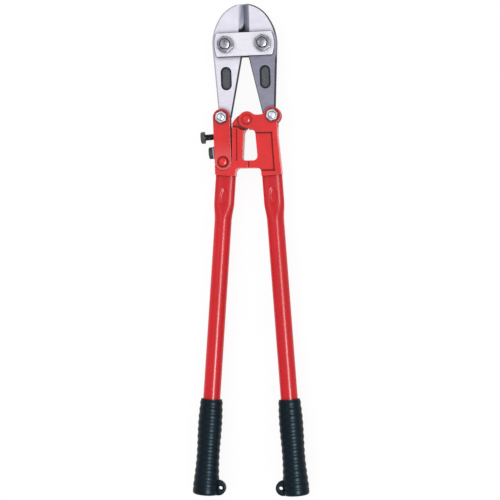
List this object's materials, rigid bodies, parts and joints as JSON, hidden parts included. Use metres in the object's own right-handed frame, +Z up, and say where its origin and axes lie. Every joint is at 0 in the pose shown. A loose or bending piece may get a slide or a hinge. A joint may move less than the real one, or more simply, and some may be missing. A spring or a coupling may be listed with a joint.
{
  "type": "bolt cutters",
  "caption": "Long-handled bolt cutters: compound toggle head, bolted centre-cut jaws with straps, adjuster link with lock bolt, tubular handles with ribbed grips.",
  "frame": {"origin": "centre of the tool's footprint, on the surface it lies on", "axes": "+Y along the tool towards the jaw tips, +Z up from the bench through every pivot, +X towards the handle without the adjuster"},
  "size_m": [0.146, 0.6116, 0.0382],
  "materials": {
    "blade_steel": "ground bright, satin",
    "strap_steel": "ground bright, satin",
    "pivot_hardware": "plain zinc plate, dulled",
    "toggle_hardware": "bright zinc plate",
    "black_steel": "black oxide, oiled",
    "lock_hardware": "dark zinc plate",
    "casting_paint": "red enamel over a sand casting, satin",
    "tube_paint": "red enamel, gloss",
    "grip_rubber": "moulded rubber, satin"
  },
  "bodies": {
    "head": {"front_strap": "strap_steel", "rear_strap": "strap_steel", "left_pivot_bolt": "pivot_hardware", "right_pivot_bolt": "pivot_hardware", "left_pivot_nut": "pivot_hardware", "right_pivot_nut": "pivot_hardware"},
    "left_jaw": {"left_blade": "blade_steel"},
    "right_jaw": {"right_blade": "blade_steel"},
    "adjuster_link": {"front_link_plate": "casting_paint", "rear_link_plate": "casting_paint", "adjuster_block": "black_steel", "left_toggle_bolt": "toggle_hardware", "left_toggle_nut": "toggle_hardware"},
    "left_handle": {"left_head_casting": "casting_paint", "left_tube": "tube_paint", "left_grip": "grip_rubber", "link_rivet": "casting_paint"},
    "right_handle": {"right_head_casting": "casting_paint", "right_tube": "tube_paint", "right_grip": "grip_rubber", "handle_pivot_rivet": "casting_paint", "right_toggle_bolt": "toggle_hardware", "right_toggle_nut": "toggle_hardware"},
    "adjuster_screw": {"adjusting_screw": "black_steel"},
    "lock": {"lock_bolt": "lock_hardware", "lock_washer": "lock_hardware"}
  },
  "joints": [
    {"name": "left_jaw_pivot", "type": "hinge", "parent": "head", "child": "left_jaw", "pos_m": [-0.02727, 0.25418, 0.0163], "axis": [0, 0, 1], "range_deg": [0, 8.13]},
    {"name": "right_jaw_pivot", "type": "hinge", "parent": "head", "child": "right_jaw", "pos_m": [0.01891, 0.25555, 0.0163], "axis": [0, 0, -1], "range_deg": [0, 8.13]},
    {"name": "left_toggle", "type": "hinge", "parent": "left_jaw", "child": "adjuster_link", "pos_m": [-0.03325, 0.16436, 0.0163], "axis": [0, 0, -1], "range_deg": [0, 56]},
    {"name": "right_toggle", "type": "hinge", "parent": "right_jaw", "child": "right_handle", "pos_m": [0.03022, 0.16625, 0.0163], "axis": [0, 0, 1], "range_deg": [0, 56]},
    {"name": "adjuster_pivot", "type": "hinge", "parent": "adjuster_link", "child": "left_handle", "pos_m": [-0.0313, 0.109, 0.0163], "axis": [0, 0, 1], "range_deg": [-0.5, 0.5]},
    {"name": "adjusting_screw_travel", "type": "slide", "parent": "adjuster_link", "child": "adjuster_screw", "axis": [0.9969, 0.0785, 0], "range_m": [-0.00029, 0.00029]},
    {"name": "lock_bolt_travel", "type": "slide", "parent": "left_handle", "child": "lock", "axis": [-0.9969, -0.0785, 0], "range_m": [0, 0.004]}
  ],
  "couplings": [
    {"joint": "left_toggle", "follows": "right_toggle", "ratio": 1},
    {"joint": "left_jaw_pivot", "follows": "right_toggle", "ratio": 0.145},
    {"joint": "right_jaw_pivot", "follows": "right_toggle", "ratio": 0.145},
    {"joint": "adjusting_screw_travel", "follows": "adjuster_pivot", "m_per_rad": -0.03269}
  ]
}
